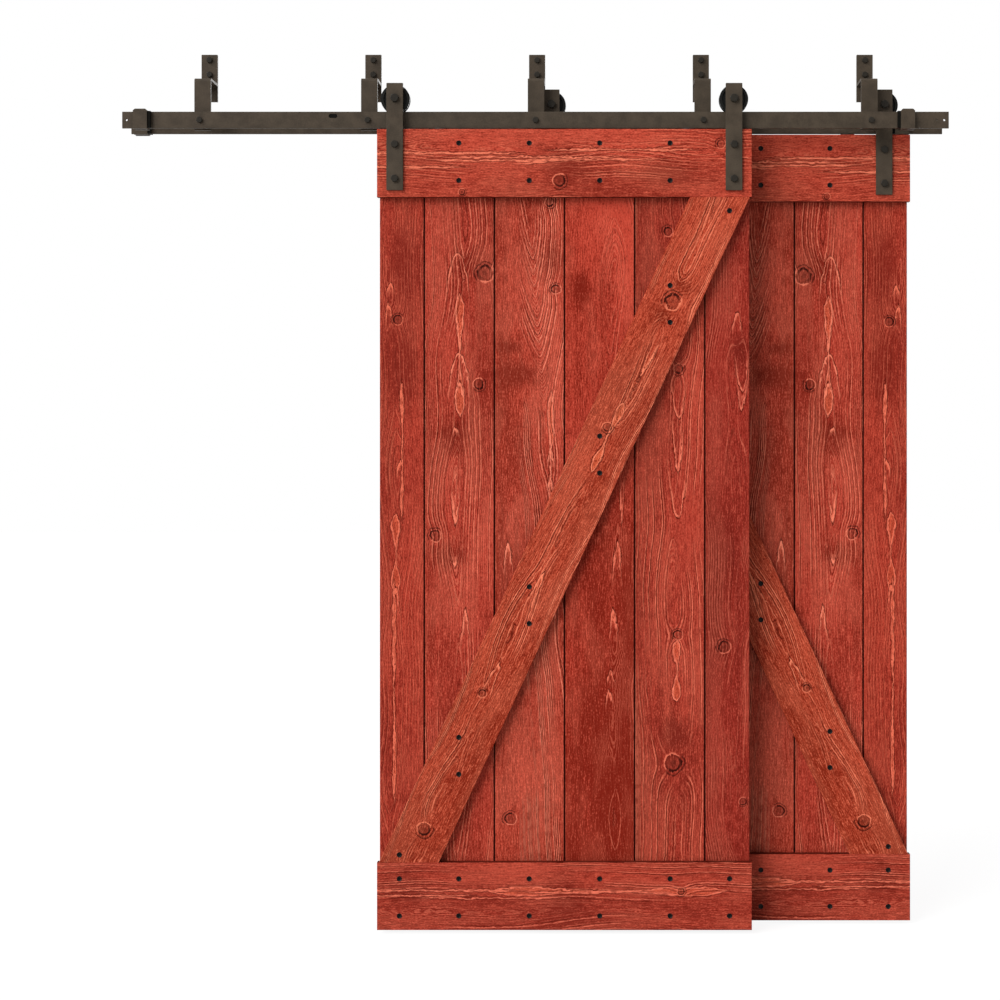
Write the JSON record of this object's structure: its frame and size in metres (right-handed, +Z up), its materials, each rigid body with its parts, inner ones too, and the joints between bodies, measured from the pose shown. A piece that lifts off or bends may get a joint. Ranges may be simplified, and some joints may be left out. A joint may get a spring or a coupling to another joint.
{
  "type": "bypass sliding barn door",
  "caption": "Bypass barn door set: Z-braced plank doors hung by strap hangers with grooved wheels on flat steel tracks, on wall brackets.",
  "frame": {"origin": "on the wall plane, at the middle of the tracks' length and the height of the tracks' centreline: the middle of the back track's row of lag screws", "axes": "+Z up, -Y into the room, +X along the tracks, to the right for someone who faces the doors"},
  "size_m": [2, 0.1915, 2.1371],
  "materials": {
    "board_pine": "red stain over wire-brushed knotty pine",
    "rail_pine": "red stain over wire-brushed knotty pine",
    "brace_pine": "red stain over wire-brushed knotty pine",
    "bronze_steel": "matt dark bronze powder coat",
    "bronze_fixings": "dark bronze plating",
    "black_screws": "black oxide",
    "wheel_nylon": "black nylon, turned",
    "disc_nylon": "black nylon",
    "bearing_steel": "ground rings with pressed shields",
    "zinc_steel": "bright zinc",
    "bumper_rubber": "black rubber"
  },
  "bodies": {
    "wall_frame": {"back_track": "bronze_steel", "back_track_spacers": "bronze_steel", "bracket_1": "bronze_steel", "bracket_2": "bronze_steel", "bracket_3": "bronze_steel", "bracket_4": "bronze_steel", "bracket_5": "bronze_steel", "end_stops": "bronze_steel", "front_track": "bronze_steel", "front_track_bolts": "bronze_fixings", "front_track_nuts": "bronze_fixings", "front_track_spacers": "bronze_steel", "slot_plug": "bumper_rubber", "stop_bumpers": "bumper_rubber", "stop_set_screws": "bronze_fixings", "wall_lag_screws": "bronze_fixings"},
    "front_door": {"front_door_anti_jump_discs": "disc_nylon", "front_door_axle_bolts": "bronze_fixings", "front_door_axle_nuts": "bronze_fixings", "front_door_axle_sleeves": "zinc_steel", "front_door_barrel_nuts": "bronze_fixings", "front_door_board_1": "board_pine", "front_door_board_2": "board_pine", "front_door_board_3": "board_pine", "front_door_board_4": "board_pine", "front_door_board_5": "board_pine", "front_door_board_6": "board_pine", "front_door_bottom_rail": "rail_pine", "front_door_brace": "brace_pine", "front_door_left_strap": "bronze_steel", "front_door_right_strap": "bronze_steel", "front_door_screws": "black_screws", "front_door_strap_bolts": "bronze_fixings", "front_door_top_rail": "rail_pine"},
    "back_door": {"back_door_anti_jump_discs": "disc_nylon", "back_door_axle_bolts": "bronze_fixings", "back_door_axle_nuts": "bronze_fixings", "back_door_axle_sleeves": "zinc_steel", "back_door_barrel_nuts": "bronze_fixings", "back_door_board_1": "board_pine", "back_door_board_2": "board_pine", "back_door_board_3": "board_pine", "back_door_board_4": "board_pine", "back_door_board_5": "board_pine", "back_door_board_6": "board_pine", "back_door_bottom_rail": "rail_pine", "back_door_brace": "brace_pine", "back_door_left_strap": "bronze_steel", "back_door_right_strap": "bronze_steel", "back_door_screws": "black_screws", "back_door_strap_bolts": "bronze_fixings", "back_door_top_rail": "rail_pine"},
    "back_door_left_wheel": {"back_door_left_wheel": "wheel_nylon", "back_door_left_wheel_bearings": "bearing_steel"},
    "back_door_right_wheel": {"back_door_right_wheel": "wheel_nylon", "back_door_right_wheel_bearings": "bearing_steel"},
    "front_door_left_wheel": {"front_door_left_wheel": "wheel_nylon", "front_door_left_wheel_bearings": "bearing_steel"},
    "front_door_right_wheel": {"front_door_right_wheel": "wheel_nylon", "front_door_right_wheel_bearings": "bearing_steel"}
  },
  "joints": [
    {"name": "front_door_slide", "type": "slide", "parent": "wall_frame", "child": "front_door", "axis": [1, 0, 0], "range_m": [-0.571, 0.3753]},
    {"name": "back_door_slide", "type": "slide", "parent": "wall_frame", "child": "back_door", "axis": [1, 0, 0], "range_m": [-0.9663, 0]},
    {"name": "front_door_left_wheel_spin", "type": "hinge", "parent": "front_door", "child": "front_door_left_wheel", "pos_m": [-0.3385, -0.108, 0.0492], "axis": [0, 1, 0], "continuous": true},
    {"name": "front_door_right_wheel_spin", "type": "hinge", "parent": "front_door", "child": "front_door_right_wheel", "pos_m": [0.4791, -0.108, 0.0492], "axis": [0, 1, 0], "continuous": true},
    {"name": "back_door_left_wheel_spin", "type": "hinge", "parent": "back_door", "child": "back_door_left_wheel", "pos_m": [0.03677, -0.028, 0.0492], "axis": [0, 1, 0], "continuous": true},
    {"name": "back_door_right_wheel_spin", "type": "hinge", "parent": "back_door", "child": "back_door_right_wheel", "pos_m": [0.85437, -0.028, 0.0492], "axis": [0, 1, 0], "continuous": true}
  ],
  "couplings": [
    {"joint": "front_door_left_wheel_spin", "follows": "front_door_slide", "rad_per_m": 34.483},
    {"joint": "front_door_right_wheel_spin", "follows": "front_door_slide", "rad_per_m": 34.483},
    {"joint": "back_door_left_wheel_spin", "follows": "back_door_slide", "rad_per_m": 34.483},
    {"joint": "back_door_right_wheel_spin", "follows": "back_door_slide", "rad_per_m": 34.483}
  ]
}
